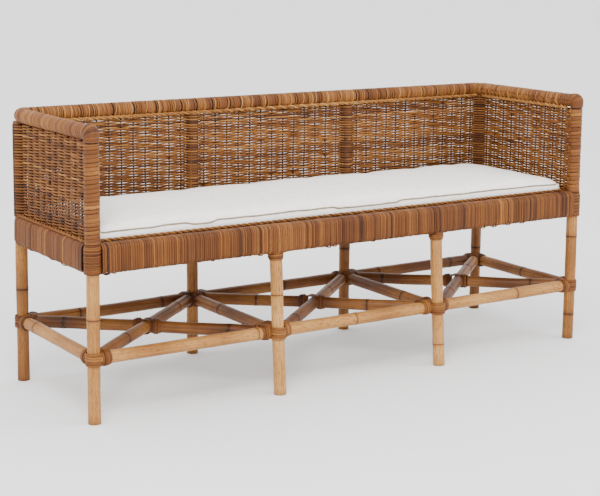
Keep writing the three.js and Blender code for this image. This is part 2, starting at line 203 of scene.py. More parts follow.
def turn(pile, line, start, pitch, width, radius, tone, seam, thickness=STRIP, growth=1.0, segments=24):
    """One turn of strip. radius(s, out) gives the outer radius; growth widens the strip along the turn."""
    angle = np.linspace(0, 2 * math.pi, segments + 1)
    part = angle / (2 * math.pi)
    s = start + pitch * part * (1 + growth) / 2
    width = width * (1 + (growth - 1) * part)
    path, out = around(line, s, angle + seam, radius)
    following, _ = around(line, s + pitch, angle + seam, radius)
    spread = np.clip(np.linalg.norm(following - path, axis=1) / pitch, 0.3, 4)
    pile.sweep(path, out, strip(width * spread, thickness), tone)


def arc(centre, start, end, radius, across, along, steps=8):
    """Points round part of a circle; angles turn from across towards along."""
    centre, across, along = np.array(centre), np.array(across), np.array(along)
    return [tuple(centre + radius * (math.cos(t) * across + math.sin(t) * along))
            for t in np.linspace(start, end, steps)]


def middle(node):
    low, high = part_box(node)
    return (low + high) / 2


# ---- materials

def linear(red, green, blue):
    return tuple((c / 255 / 12.92) if c <= 10 else ((c / 255 + 0.055) / 1.055) ** 2.4
                 for c in (red, green, blue)) + (1.0,)


def new_material(name):
    material = bpy.data.materials.new(name)
    material.use_nodes = True
    tree = material.node_tree
    return material, tree, tree.nodes["Principled BSDF"]


def add(tree, kind, links=(), **settings):
    """Adds a node, sets what is given, and links sockets as (from node, from socket, to socket)."""
    node = tree.nodes.new(kind)
    for key, value in settings.items():
        setattr(node, key, value)
    for source, socket, target in links:
        tree.links.new(source.outputs[socket], node.inputs[target])
    return node


def preset(node, **values):
    """Sets a node's inputs; an underscore stands for a space in a name."""
    for name, value in values.items():
        node.inputs[name.replace("_", " ")].default_value = value


def noise(tree, scale, detail=2.0):
    """Noise fixed to the object."""
    place = add(tree, "ShaderNodeTexCoord")
    node = add(tree, "ShaderNodeTexNoise", [(place, "Object", "Vector")])
    preset(node, Scale=scale, Detail=detail)
    return node


def stretched_noise(tree, grain, stretch, detail, rough=0.6):
    """Noise drawn out along the grain; stretch is how fine it is along and across."""
    scaled = add(tree, "ShaderNodeMapping", [(grain, "Vector", "Vector")])
    preset(scaled, Scale=(stretch[0], stretch[1], stretch[1]))
    node = add(tree, "ShaderNodeTexNoise", [(scaled, "Vector", "Vector")])
    preset(node, Scale=1.0, Detail=detail, Roughness=rough)
    return node


def math_node(tree, operation, *terms):
    """Each term is a number, or a node and the name of its output."""
    node = add(tree, "ShaderNodeMath", operation=operation)
    for i, term in enumerate(terms):
        if isinstance(term, tuple):
            tree.links.new(term[0].outputs[term[1]], node.inputs[i])
        else:
            node.inputs[i].default_value = term
    return node


def ramp(tree, source, socket, stops):
    node = add(tree, "ShaderNodeValToRGB", [(source, socket, "Fac")])
    elements = node.color_ramp.elements
    while len(elements) < len(stops):
        elements.new(0.5)
    for element, (position, colour) in zip(elements, stops):
        element.position = position
        element.color = colour
    return node


def relieved(tree, shader, grit, roughness, height, strength, depth):
    """Roughness between two values, and a bump as deep as depth, each led by a texture."""
    shine = add(tree, "ShaderNodeMapRange", [(grit, "Fac", "Value")])
    preset(shine, To_Min=roughness[0], To_Max=roughness[1])
    tree.links.new(shine.outputs["Result"], shader.inputs["Roughness"])
    bump = add(tree, "ShaderNodeBump", [height + ("Height",)])
    preset(bump, Strength=strength, Distance=depth)
    tree.links.new(bump.outputs["Normal"], shader.inputs["Normal"])


DARK_SPECK = linear(84, 48, 26)
DASH = (70, 600)  # how fine the specks are, along and across the grain


def rattan(name, colours, streak, streaks, specks, roughness, relief):
    """Rattan: tone picks the colour, streaks and specks run along the grain."""
    material, tree, shader = new_material(name)
    grain = add(tree, "ShaderNodeAttribute", attribute_name="grain")
    tone = add(tree, "ShaderNodeAttribute", attribute_name="tone")
    fine = stretched_noise(tree, grain, streak, 4.0)
    swing = math_node(tree, "MULTIPLY_ADD", (fine, "Fac"), streaks, -streaks / 2)
    toned = math_node(tree, "ADD", (tone, "Fac"), (swing, "Value"))
    drift = math_node(tree, "MULTIPLY_ADD", (noise(tree, 9.0), "Fac"), 0.3, -0.15)
    total = math_node(tree, "ADD", (toned, "Value"), (drift, "Value"))
    last = len(colours) - 1
    colour = ramp(tree, total, "Value", [(i / last, linear(*c)) for i, c in enumerate(colours)])
    dash = stretched_noise(tree, grain, DASH, 2.0, 0.5)
    spot = ramp(tree, dash, "Fac", [(0.575, (0, 0, 0, 1)), (0.66, (specks, specks, specks, 1))])
    mixed = add(tree, "ShaderNodeMix", data_type="RGBA")
    tree.links.new(spot.outputs["Color"], mixed.inputs["Factor"])
    tree.links.new(colour.outputs["Color"], mixed.inputs["A"])
    mixed.inputs["B"].default_value = DARK_SPECK
    tree.links.new(mixed.outputs["Result"], shader.inputs["Base Color"])
    relieved(tree, shader, fine, roughness, (fine, "Fac"), relief, 0.6 * MM)
    preset(shader, Specular_IOR_Level=0.22)
    return material


def canvas(name, shades):
    """Canvas with a plain weave and a few faint slubs, between two shades."""
    material, tree, shader = new_material(name)
    place = add(tree, "ShaderNodeTexCoord")
    waves = []
    for direction in ("X", "Y"):
        wave = add(tree, "ShaderNodeTexWave", [(place, "Object", "Vector")], bands_direction=direction)
        preset(wave, Scale=230.0, Distortion=1.2, Detail=1.0)
        waves.append(wave)
    cloth = math_node(tree, "MAXIMUM", (waves[0], "Fac"), (waves[1], "Fac"))
    slub = noise(tree, 60.0, 4.0)
    both = math_node(tree, "MULTIPLY_ADD", (cloth, "Value"), 0.25, (slub, "Fac"))
    colour = ramp(tree, both, "Value", [(0.35, linear(*shades[0])), (0.75, linear(*shades[1]))])
    tree.links.new(colour.outputs["Color"], shader.inputs["Base Color"])
    relieved(tree, shader, slub, (0.82, 0.96), (both, "Value"), 0.25, 0.5 * MM)
    preset(shader, Sheen_Weight=0.15, Specular_IOR_Level=0.15)
    return material


BARE = rattan("bare_pole", [(40, 20, 8), (93, 53, 22), (145, 96, 45), (180, 131, 71), (206, 167, 109)],
              streak=(6, 340), streaks=0.5, specks=0.8, roughness=(0.36, 0.6), relief=0.35)
PEEL = rattan("wound_peel", [(17, 8, 3), (53, 25, 9), (93, 51, 18), (121, 73, 29), (152, 105, 50)],
              streak=(10, 620), streaks=0.6, specks=0.75, roughness=(0.4, 0.66), relief=0.4)
WOVEN = rattan("woven_strand", [(18, 8, 3), (56, 28, 11), (101, 58, 22), (132, 84, 36), (166, 121, 64)],
               streak=(12, 800), streaks=0.5, specks=0.35, roughness=(0.42, 0.68), relief=0.35)
CANVAS = canvas("canvas", ((234, 227, 216), (248, 244, 237)))
# the piping cord: its own grey-brown, darkened further to paint the shade line along the seam
CORD_AND_SEAM_SHADE = canvas("canvas_cord_and_seam_shade", ((106, 93, 76), (150, 136, 114)))


# ---- bare poles

RING_STATIONS = (-9, -5, -2.5, -1.2, 0, 1.2, 2.5, 5, 9)  # in mm, across a growth ring
POLE_SIDES = 20


def pole(node, start, end, seed, base_tone, swing=0.1, rings=None):
    """A bare pole that bows a little, with growth rings at these places along it, or at random ones."""
    pile = Pile(seed)
    pick = random.Random(seed)
    start, end = np.array(start, float), np.array(end, float)
    length = np.linalg.norm(end - start)
    direction = (end - start) / length
    if rings is None:
        rings = []
        place = pick.uniform(0.12, 0.3)
        while place < length - 0.04:
            rings.append(place)
            place += pick.uniform(0.24, 0.42)
    stations = set(np.linspace(0, length, max(3, int(length / 0.02))))
    for ring in rings:
        stations.update(ring + offset * MM for offset in RING_STATIONS)
    s = np.array(sorted(x for x in stations if 0 <= x <= length))
    size = POLE * (1 + 0.012 * np.sin(s * 23 + pick.uniform(0, 6)) + 0.008 * np.sin(s * 61))
    tone = base_tone + swing * np.sin(s * 9 + pick.uniform(0, 6)) * 0.6
    tone += swing * np.sin(s * 27 + pick.uniform(0, 6)) * 0.4
    for ring in rings:
        swell, groove = bell(s, ring, 6 * MM), bell(s, ring, 1.4 * MM)
        size += POLE * (0.05 * swell - 0.05 * groove) + np.where(s > ring, 0.015, 0) * POLE
        tone -= 0.38 * groove + 0.10 * swell
    side = np.cross(direction, UP if abs(direction[2]) < 0.9 else (0, 1, 0))
    side /= np.linalg.norm(side)
    other = np.cross(direction, side)
    bow = np.sin(math.pi * s / length)
    wander = np.sin(2 * math.pi * s / length + pick.uniform(0, 3)) * bow
    path = start + s[:, None] * direction
    for across in (side, other):
        path += ((pick.uniform(-1.5, 1.5) * bow + pick.uniform(-1, 1) * wander) * MM)[:, None] * across
    pile.sweep(path, side, circle(size, POLE_SIDES), tone)
    pile.piece(node + "_pole", BARE, "rattan_pole", stands_for=[node])


POSTS = {  # tone, which differs from post to post and is set lower at the back and on the right as painted shade, and the heights of the growth rings below the seat
    "front_left_post": (0.6, (0.259,)), "front_right_post": (0.48, (0.075, 0.31)),
    "back_left_post": (0.42, (0.249,)), "back_right_post": (0.36, (0.201,)),
    "back_mid_left_post": (0.4, (0.09,)), "back_mid_right_post": (0.4, (0.251,)),
}
foot = {}
for seed, (node, (tone, rings)) in enumerate(POSTS.items()):
    low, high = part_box(node)
    centre = (low + high) / 2
    foot[node] = centre
    pole(node, (centre.x, centre.y, low.z), (centre.x, centre.y, high.z), 11 + seed, tone, rings=rings)


def leaning(node, height):
    """Where the centre of a leaning front leg is at a height."""
    low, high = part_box(node)
    share = (height - low.z) / (high.z - low.z)
    return Vector(((low.x + high.x) / 2, low.y + POLE + (high.y - low.y - 2 * POLE) * share, height))


LEGS = {"front_mid_left_leg": (0.68, (0.262,)), "front_mid_right_leg": (0.66, (0.06,))}
for seed, (node, (tone, rings)) in enumerate(LEGS.items()):
    low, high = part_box(node)
    pole(node, leaning(node, low.z), leaning(node, high.z), 31 + seed, tone, rings=rings)

STRETCHERS = {  # direction, tone, which differs from pole to pole and is set lower at the back and under the seat as painted shade, and where the growth rings are along it
    "front_stretcher": (0, 0.6, (0.46, 0.77, 1.34)), "back_left_stretcher": (0, 0.3, (0.16, 0.41)),
    "back_middle_stretcher": (0, 0.28, (0.3,)), "back_right_stretcher": (0, 0.28, (0.12, 0.4)),
    "left_side_stretcher": (1, 0.5, (0.335,)), "right_side_stretcher": (1, 0.4, (0.2,)),
    "left_cross_stretcher": (1, 0.36, (0.27,)), "right_cross_stretcher": (1, 0.34, (0.13,)),
}
for seed, (node, (axis, tone, rings)) in enumerate(STRETCHERS.items()):
    low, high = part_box(node)
    start, end = (low + high) / 2, (low + high) / 2
    start[axis], end[axis] = low[axis], high[axis]
    pole(node, start, end, 51 + seed, tone, rings=rings)

LEVEL = middle("front_stretcher").z
AT = {"F2": leaning("front_mid_left_leg", LEVEL), "F3": leaning("front_mid_right_leg", LEVEL)}
for key, node in zip(("F1", "F4", "B1", "B4", "B2", "B3"), POSTS):
    AT[key] = Vector((foot[node].x, foot[node].y, LEVEL))
# the joints of each bay: the through brace's two ends, then the front and the back half braces' ends
BAYS = {"left": ("F1", "B2", "F2", "B1"), "middle": ("F2", "B3", "F3", "B2"),
        "right": ("F3", "B4", "F4", "B3")}
crossing = {}
for seed, (bay, (near, far, front, back)) in enumerate(BAYS.items()):
    near, far, front, back = AT[near], AT[far], AT[front], AT[back]
    direction = (far - near).normalized()
    inset = direction * POLE * 0.8
    # the braces' low tones are painted shade under the seat
    pole(bay + "_through_brace", near + inset, far - inset, 71 + seed, 0.33, 0.14)
    centre = middle(bay + "_crossing_binding")
    crossing[bay] = centre
    for part, post in (("_back_half_brace", back), ("_front_half_brace", front)):
        inset = (post - centre).normalized() * POLE
        pole(bay + part, centre + inset * 0.7, post - inset * 0.8, 81 + seed, 0.3, 0.14)

low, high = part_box("seat_bearer")
bearer_z = (low.z + high.z) / 2
# the bearer's low tone is painted shade under the seat
pole("seat_bearer", (0, low.y, bearer_z), (0, high.y, bearer_z), 95, 0.3)


# ---- lashings

STRAPS = 5  # straps over a lashing
STRAPS_HEIGHT = 33 * MM  # of all of them together

def loops(pile, start, direction, radius, widths, tone, first=0.0):
    """Turns of strip side by side round a pole, from start along direction."""
    start, direction = np.array(start), np.array(direction, float)
    line = Line([start, start + direction * 0.1], UP if abs(direction[2]) < 0.9 else X)
    place = first
    for number, width in enumerate(widths):
        middle_turn = 0 < number < len(widths) - 1
        for layer in range(1 + middle_turn):
            shade = tone + pile.random.uniform(-0.16, 0.16)
            seam = math.pi + pile.random.uniform(-0.3, 0.3)
            swell = radius + layer * 2.1 * MM + pile.mm(-0.3, 0.5)
            turn(pile, line, place, width * 0.25, width, swell, shade, seam, segments=16)
        place += width * 1.02
    return place


def straps(pile, centre, facing, tone, spread=105):
    """Strips across one face of an upright, one above the other."""
    facing = Vector(facing).normalized()
    width = STRAPS_HEIGHT / STRAPS
    side = UP.cross(facing)
    for k in range(STRAPS):
        z = (k + 0.5 - STRAPS / 2) * width
        slope = pile.mm(-1.5, 1.5)
        angles = np.radians(np.linspace(-spread, spread, 17))
        out = np.array([facing * math.cos(t) + side * math.sin(t) for t in angles])
        path = np.array(centre) + out * (STRAP + pile.mm(-0.2, 0.5))
        path[:, 2] += z + slope * np.linspace(-1, 1, len(angles))
        pile.sweep(path, out, strip(width * 0.97), tone + pile.random.uniform(-0.16, 0.16))


def widths(pile, low, high, count):
    return [pile.mm(low, high) for _ in range(count)]


def tie(node, key, arms, front, tone, seed):
    """The lashing at one leg: turns round every pole that meets it, and straps over its outer face."""
    pile = Pile(seed)
    for direction in arms:
        loops(pile, AT[key], direction, LASH, widths(pile, 5.2, 6.8, 4), tone, POLE + 2 * MM)
    straps(pile, AT[key], front, tone + 0.08)
    pile.piece(node + "_strips", PEEL, "binding_peel", stands_for=[node])


def towards(start, end):
    return (AT[end] - AT[start]).normalized()


# the lashings at the back and on the right get lower tones than those at the front left, as painted shade
tie("front_left_binding", "F1", [X, Y, towards("F1", "B2")], (-1, -1, 0), 0.6, 101)
tie("front_right_binding", "F4", [-X, Y, towards("F4", "B3")], (1, -1, 0), 0.55, 102)
tie("back_left_binding", "B1", [X, -Y, towards("B1", "F2")], (-1, 1, 0), 0.45, 103)
tie("back_right_binding", "B4", [-X, -Y, towards("B4", "F3")], (1, 1, 0), 0.42, 104)
for node, joint, others, seed in (("front_mid_left_binding", "F2", ("B1", "B3", "B2"), 105),
                                  ("front_mid_right_binding", "F3", ("B2", "B4", "B3"), 106)):
    at_rail = Vector((AT[joint].x, middle("front_stretcher").y, LEVEL))
    pile = Pile(seed)
    for direction in (X, -X):
        loops(pile, at_rail, direction, LASH, widths(pile, 6.0, 7.5, 4), 0.66, POLE + 1 * MM)
    for other in others:
        turns = widths(pile, 5.2, 6.8, 3)
        loops(pile, AT[joint], towards(joint, other), LASH, turns, 0.5, 2 * POLE + 14 * MM)
    straps(pile, AT[joint], -Y, 0.74, 112)
    pile.piece(node + "_strips", PEEL, "binding_peel", stands_for=[node])
for node, joint, braces, seed in (("back_mid_left_binding", "B2", ("F1", "F3"), 107),
                                  ("back_mid_right_binding", "B3", ("F2", "F4"), 108)):
    arms = [X, -X, -Y] + [towards(joint, other) for other in braces]
    tie(node, joint, arms, Y, 0.42, seed)

HALF_SPAN = 0.05  # half of the stretch of through brace that its lashing is set out on
for seed, (bay, (near, far, front, back)) in enumerate(BAYS.items()):
    pile = Pile(111 + seed)
    centre = crossing[bay]
    through = towards(near, far)
    for post in (AT[front], AT[back]):
        loops(pile, centre, (post - centre).normalized(), LASH, widths(pile, 5.5, 7, 4), 0.5, POLE - 3 * MM)
    line = Line([np.array(centre - through * HALF_SPAN), np.array(centre + through * HALF_SPAN)], UP)
    for k in range(4):
        shade = 0.5 + pile.random.uniform(-0.15, 0.15)
        place = HALF_SPAN + (k - 2) * 7.2 * MM
        turn(pile, line, place, 1.5 * MM, 7.4 * MM, STRAP, shade, math.pi, segments=16)
    pile.piece(bay + "_crossing_strips", PEEL, "binding_peel", stands_for=[bay + "_crossing_binding"])


# ---- top rail and front posts

post_left, post_right = foot["front_left_post"], foot["front_right_post"]
rail_z = middle("back_rail").z
back_y = foot["back_left_post"].y
wrap_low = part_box("front_left_post_wrap")[0].z
PAINTED_SHADE_TONE = 0.05  # painted shade: the near-black tone of the core under the strips, which shows in the slits between them
CORE_DEPTH = STRIP + 0.2 * MM
ELBOW_FILL = 8 * MM  # how much further the peel stands out at the outside of the elbow
BAND_SWELL = 2.8 * MM  # how much thicker the front posts' wrap is beside the seat band


def back_corner(side, start, end):
    """Points round the rail's bend at a back corner; angle 0 is at the arm and a right angle at the back."""
    x = (post_left if side < 0 else post_right).x - side * CORNER_BEND
    return arc((x, back_y - CORNER_BEND, rail_z), start, end, CORNER_BEND, (side, 0, 0), (0, 1, 0))


def rail_points(side):
    """The centre of the post, the elbow and the arm rail on one side, from the seat up and back."""
    x, y = (post_left if side < 0 else post_right).xy
    points = [(x, y, wrap_low)]
    points += arc((x, y + ELBOW_BEND, rail_z - ELBOW_BEND), math.pi, math.pi / 2, ELBOW_BEND,
                  (0, 1, 0), (0, 0, 1), 10)
    return points + back_corner(side, 0, math.pi / 4)


def wound(pile, line, start, end, next_strip, radius):
    """Fills a stretch of a line with turns of strip; next_strip gives (width, tone, gap, lift)."""
    place = start
    strips = []
    while place < end:
        width, tone, gap, lift = next_strip(place)
        strips.append((place, width, tone, width + gap, lift))
        place += width + gap
    for (place, width, tone, pitch, lift), following in zip(strips, strips[1:] + strips[-1:]):
        reach = (lambda s, out, lift=lift: radius(s, out) + lift)
        turn(pile, line, place, pitch, width, reach, tone, math.pi + pile.random.uniform(-0.1, 0.1),
             growth=following[3] / pitch)
    # the core: a near-black tube under the strips, painted shade in the slits
    s = np.linspace(0, line.length, max(4, int(line.length / (8 * MM))))
    centre, a, _ = line.at(s)
    pile.sweep(centre, a, circle(radius(s, a) - CORE_DEPTH, 16), PAINTED_SHADE_TONE)


def post_and_arm(side, seed):
    pile = Pile(seed)
    line = Line(rail_points(side), (side, 0, 0))
    elbow = rail_z - ELBOW_BEND - wrap_low
    elbow_end = elbow + ELBOW_BEND * math.pi / 2
    band_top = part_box("front_seat_band")[1].z - wrap_low
    outside = np.array((0, -0.7071, 0.7071))

    def radius(s, out):
        at_band = BAND_SWELL * np.clip((band_top - s) / (12 * MM), 0, 1)
        bend = bell(s, (elbow + elbow_end) / 2, 13 * MM)
        return RAIL - 0.8 * MM + at_band + ELBOW_FILL * bend * np.clip(out @ outside, 0, 1) ** 2

    def next_strip(place):
        gauss = pile.random.gauss
        if place < band_top:
            return pile.mm(3.4, 5), pile.random.uniform(0.3, 0.75), pile.mm(0, 0.4), 0
        if place < elbow - 12 * MM:
            return pile.mm(8.5, 12), gauss(0.62, 0.1), pile.mm(-0.3, 0.8), pile.mm(-0.5, 0.3)
        if place < elbow_end:
            return pile.mm(2.6, 3.4), gauss(0.55, 0.12), pile.mm(-0.7, -0.4), pile.mm(-0.3, 0.3)
        return pile.mm(6, 10.5), gauss(0.7, 0.12), pile.mm(-0.4, 0.7), pile.mm(-0.5, 0.3)

    wound(pile, line, 0.5 * MM, line.length - 4 * MM, next_strip, radius)
    name = "left" if side < 0 else "right"
    nodes = [f"front_{name}_post_wrap", f"{name}_arm_rail", f"{name}_arm_rail_wrap"]
    pile.piece(name + "_arm_peel", PEEL, "rattan_peel", stands_for=nodes)


post_and_arm(-1, 201)
post_and_arm(1, 202)


def back_rail():
    pile = Pile(203)
    line = Line(back_corner(-1, math.pi / 4, math.pi / 2) + back_corner(1, math.pi / 2, math.pi / 4), UP)
    queue = []

    def radius(s, out):
        return np.full(len(s), RAIL - 0.7 * MM)

    def next_strip(place):
        """A few wide strips, one that stands out, then a few narrow ones."""
        pick = pile.random
        if not queue:
            shade = pick.gauss(0.6, 0.1)
            for _ in range(pick.randint(2, 4)):
                width, tone = pile.mm(8, 13), shade + pick.uniform(-0.07, 0.07)
                queue.append((width, tone, 0.1 * MM, pile.mm(-0.4, 0.2)))
            queue.append((pile.mm(3, 4.5), pick.uniform(0.6, 0.9), 1.6 * MM, 0.2 * MM))
            for _ in range(pick.randint(2, 5)):
                width, tone = pile.mm(3.2, 5), pick.gauss(0.68, 0.14)
                queue.append((width, tone, pile.mm(0.2, 0.9), pile.mm(-0.4, 0.3)))
            queue[-1] = queue[-1][:2] + (pile.mm(1, 2.2), 0)
        return queue.pop(0)

    wound(pile, line, 0, line.length - 3 * MM, next_strip, radius)
    pile.piece("back_rail_peel", PEEL, "rattan_peel", stands_for=["back_rail", "back_rail_wrap"])


back_rail()


# ---- seat band

HALF_BAND = 22 * MM  # half of the band's thickness
BAND_CORNER = 14 * MM  # radius of the band's upper and lower edges
BAND_TURN = 38 * MM  # radius of the band's corners behind the back posts, in plan
FIRST_STRIP = (6 * MM, 3 * MM)  # how far the bands' ends press against the corner posts, by direction
BULGE = 4 * MM  # how far the front band stands out below, over the middle legs


def rounded_profile(half_width, low, high):
    """Points and outward directions round the band's section, as (across, up)."""
    points, normals = [], []
    side, top, bottom = half_width - BAND_CORNER, high - BAND_CORNER, low + BAND_CORNER
    for across, up, first in ((side, top, 0), (-side, top, 90), (-side, bottom, 180), (side, bottom, 270)):
        for t in np.radians(np.linspace(first, first + 90, 5)):
            points.append((across + BAND_CORNER * math.cos(t), up + BAND_CORNER * math.sin(t)))
            normals.append((math.cos(t), math.sin(t)))
    return np.array(points), np.array(normals)


def mixture(pick, *shades):
    """A tone from one of several spreads, each a middle and a deviation."""
    return pick.choice([pick.gauss(*shade) for shade in shades])


def seat_band(node, axis, seed, rails, bulges=()):
    """Upright peel strips side by side round a boxed rail. axis is the direction it runs in."""
    low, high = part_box(node)
    pile = Pile(seed)
    pick = pile.random
    cross = 1 - axis
    edge = -1 if (low[cross] + high[cross]) < 0 else 1
    centre = (low[cross] + HALF_BAND) if edge < 0 else (high[cross] - HALF_BAND)
    middle_z, height = (low.z + high.z) / 2, high.z - low.z
    points, normals = rounded_profile(HALF_BAND - 0.6 * MM, low.z + 0.6 * MM, high.z - 0.6 * MM)
    start = np.argmin(np.abs(points[:, 0] * edge + HALF_BAND) + np.abs(points[:, 1] - middle_z))
    order = np.roll(np.arange(len(points)), -start)
    order = np.append(order, order[0])
    points, normals = points[order], normals[order]
    place = low[axis] - FIRST_STRIP[axis]
    finish = high[axis] + FIRST_STRIP[axis] if axis == 0 else back_y + HALF_BAND - BAND_TURN
    out = np.zeros((len(points), 3))
    out[:, cross], out[:, 2] = normals.T
    lower = np.clip((high.z - points[:, 1]) / height, 0, 1)
    while place < finish:
        width = pile.mm(4.3, 6.6)
        patch = 0.08 * math.sin(place * 17 + seed) + 0.05 * math.sin(place * 41)
        tone = patch + mixture(pick, (0.54, 0.06), (0.46, 0.09), (0.63, 0.08))
        lift = pile.mm(-0.6, 0.6)
        knot = pile.mm(2, 4) if pick.random() < 0.05 else 0
        path = np.zeros((len(points), 3))
        path[:, axis] = place + width / 2 + np.linspace(-0.5, 0.5, len(points)) * pile.mm(0, 2)
        path[:, cross] = centre + points[:, 0]
        path[:, 2] = points[:, 1]
        grow = lift + 1.6 * MM * lower ** 2 + knot * lower ** 6
        grow = grow + sum(BULGE * bell(place, x, 24 * MM) for x in bulges) * lower
        path += out * grow[:, None]
        pile.sweep(path, out, strip(width), min(max(tone, 0.24), 0.95))
        place += width + pile.mm(-0.1, 0.8)
    # the band's end caps, near-black as painted shade
    ends = np.zeros((2, 3))
    ends[:, axis] = low[axis] + 0.5 * MM, finish - 0.5 * MM
    ends[:, cross] = centre
    turned = 2 * axis - 1       # the section's side direction, across the band
    section = [(p[0] * 0.86 * turned, middle_z + (p[1] - middle_z) * 0.92) for p in points[:-1]]
    pile.sweep(ends, UP, section[::turned], PAINTED_SHADE_TONE)
    if axis == 1:
        band_turn(pile, centre, low.z, high.z)
    pile.piece(node + "_peel", PEEL, "rattan_peel", stands_for=[node] + rails)


def band_turn(pile, post_x, low, high):
    """The rounded corner behind a back post, strips fanning from the side band to the back band."""
    side = -1 if post_x < 0 else 1
    hinge = Vector((post_x - side * (BAND_TURN - HALF_BAND), back_y + HALF_BAND - BAND_TURN, 0))
    # a near-black core behind the fanning strips, painted shade in the gaps between them
    ends = [hinge + UP * (low + 5 * MM), hinge + UP * (high - 5 * MM)]
    pile.sweep(ends, Y, circle(BAND_TURN - 4 * MM, 16), PAINTED_SHADE_TONE)
    points, normals = rounded_profile(BAND_TURN / 2, low + 0.6 * MM, high - 0.6 * MM)
    outer = np.argsort(np.arctan2(points[:, 1] - (low + high) / 2, points[:, 0]))
    keep = [k for k in outer if normals[k][0] > -0.01]
    keep = [keep[0]] + keep + [keep[-1]]
    across, up, facing = points[keep, 0] + BAND_TURN / 2, points[keep, 1], normals[keep]
    across[[0, -1]] = 4 * MM
    lower = np.clip((high - up) / (high - low), 0, 1)
    angle = 0.0
    while angle < math.pi / 2:
        width = pile.mm(4.3, 6.2)
        step = width / BAND_TURN
        heading = np.array([side * math.cos(angle + step / 2), math.sin(angle + step / 2)])
        grow = 1.2 * MM * lower ** 2 + pile.mm(-0.5, 0.5)
        reach = across + facing[:, 0] * grow
        path = np.column_stack([np.outer(reach, heading) + hinge[:2], up + facing[:, 1] * grow])
        out = np.column_stack([np.outer(facing[:, 0], heading), facing[:, 1]])
        tone = min(max(pile.random.gauss(0.55, 0.12), 0.24), 0.9)
        pile.sweep(path, out, strip(width * np.clip(across / BAND_TURN, 0.12, 1)), tone)
        angle += step + pile.mm(-0.2, 0.4) / BAND_TURN


seat_band("front_seat_band", 0, 301, ["front_seat_rail"], [AT["F2"].x, AT["F3"].x])
seat_band("back_seat_band", 0, 302, ["back_left_seat_rail", "back_middle_seat_rail", "back_right_seat_rail"])
seat_band("left_seat_band", 1, 303, ["left_seat_rail"])
seat_band("right_seat_band", 1, 304, ["right_seat_rail"])


# ---- woven panels

panel_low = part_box("back_woven_panel")[0].z
panel_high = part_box("back_woven_panel")[1].z
side_x = abs(post_left.x)
front_y = post_left.y + RAIL - 2 * MM
WRAP_POST = POLE + 1.4 * MM  # from a back post's centre to the strands that pass it
TRACK_BEND = WRAP_POST * 0.4  # bend of the weave's middle line at the corners
OFFSET = 3.9 * MM  # how far a strand passes in front of or behind the uprights
SAMPLE = 4.7 * MM  # from one station of a woven strand to the next
STITCH_STEP = 43 * MM  # from one tie of the braid to the next
SPLIT = 26 * MM  # the side panels' strands end this far from the corner post


def track():
    """The weave's middle line in plan, from the left front post round the back to the right one."""
    points = [(-side_x, front_y, 0)]
    for side, start, end in ((-1, 0, math.pi / 2), (1, math.pi / 2, 0)):
        points += arc((side * (side_x - TRACK_BEND), back_y - TRACK_BEND, 0), start, end, TRACK_BEND,
                      (side, 0, 0), (0, 1, 0), 6)
    points.append((side_x, front_y, 0))
    return Line(points, UP, step=1 * MM)


TRACK = track()
OUTWARD = np.cross(TRACK.a, TRACK.t)


def near_track(x):
    """How far along the track its nearest point to a back post is."""
    return TRACK.s[np.argmin((TRACK.p[:, 0] - x) ** 2 + (TRACK.p[:, 1] - back_y) ** 2)]


CORNERS = [near_track(-side_x), near_track(side_x)]
STOPS = [0, CORNERS[0], near_track(AT["B2"].x), near_track(AT["B3"].x), CORNERS[1], TRACK.length]
STATIONS = []  # the posts and the uprights, evenly spaced in each stretch between two posts
for first, last in zip(STOPS[:-1], STOPS[1:]):
    STATIONS += list(np.linspace(first, last, round((last - first) / STAKE_STEP) + 1)[:-1])
STATIONS.append(TRACK.length)


def strand_path(row, start, end, pick):
    """The path of one woven row, over and under by turns, with a few slips."""
    s = np.arange(start, end, SAMPLE)
    half_turns = np.interp(s, STATIONS, range(len(STATIONS)))
    way = np.cos(math.pi * (half_turns + row))
    way = np.arcsin(0.96 * way) / math.asin(0.96)
    for place in range(math.ceil(half_turns[0]), int(half_turns[-1]) + 1):
        if pick.random() < 0.015:
            way = np.where(np.abs(half_turns - place) < 0.5, -way, way)
    offset = way * OFFSET
    for stop in STOPS[1:-1]:
        side = math.cos(math.pi * (STATIONS.index(stop) + row))
        near = bell(s, stop, 16 * MM)
        offset = offset * (1 - near) + side * WRAP_POST * near
    for place in (0, TRACK.length):
        offset = offset * (1 - bell(s, place, 9 * MM))
    path = sampled(s, TRACK.s, TRACK.p) + sampled(s, TRACK.s, OUTWARD) * offset[:, None]
    sway = 0.16 * MM * np.sin(s * pick.uniform(9, 17) + pick.uniform(0, 6))
    sway += 0.14 * MM * np.sin(s * 61 + pick.uniform(0, 6))
    sway += 0.9 * MM * np.sin(s * 5.3 + 1) * math.sin(math.pi * row / 65)
    sway += 0.5 * MM * np.sin(s * 13 + row * 0.1)
    path[:, 2] = np.minimum(panel_low + 2 * MM + row * ROW + sway, panel_high + 2 * MM)
    return s, path


def strand_tones(s, pick):
    """One tone for each length of cane that a row is made of."""
    tone = np.empty(len(s))
    place = -1.0
    while place < s[-1]:
        following = place + pick.uniform(0.35, 1.1)
        tone[(s >= place) & (s < following)] = mixture(pick, (0.55, 0.07), (0.46, 0.08), (0.7, 0.07))
        place = following
    return tone


def weave():
    rows = int((panel_high - panel_low) / ROW)
    bounds = [0, CORNERS[0] - SPLIT, CORNERS[1] + SPLIT, TRACK.length]
    for seed, side in enumerate(("left", "back", "right")):
        start, end = bounds[seed:seed + 2]
        node = side + "_woven_panel"
        for half in (0, 1):
            pile = Pile(401 + 2 * seed + half)
            for row in range(half, rows, 2):
                s, path = strand_path(row, start, end + SAMPLE, random.Random(row * 13 + seed))
                tone = strand_tones(np.arange(0, TRACK.length, SAMPLE), random.Random(row * 7 + 1))
                tone = tone[np.clip((s / SAMPLE).astype(int), 0, len(tone) - 1)]
                thick = STRAND * (1 + 0.1 * np.sin(s * 37 + row))
                pile.sweep(path, UP, circle(thick, 6), tone)
            name = node + ("_odd_rows" if half else "_even_rows")
            pile.piece(name, WOVEN, "woven_rattan", stands_for=[node])


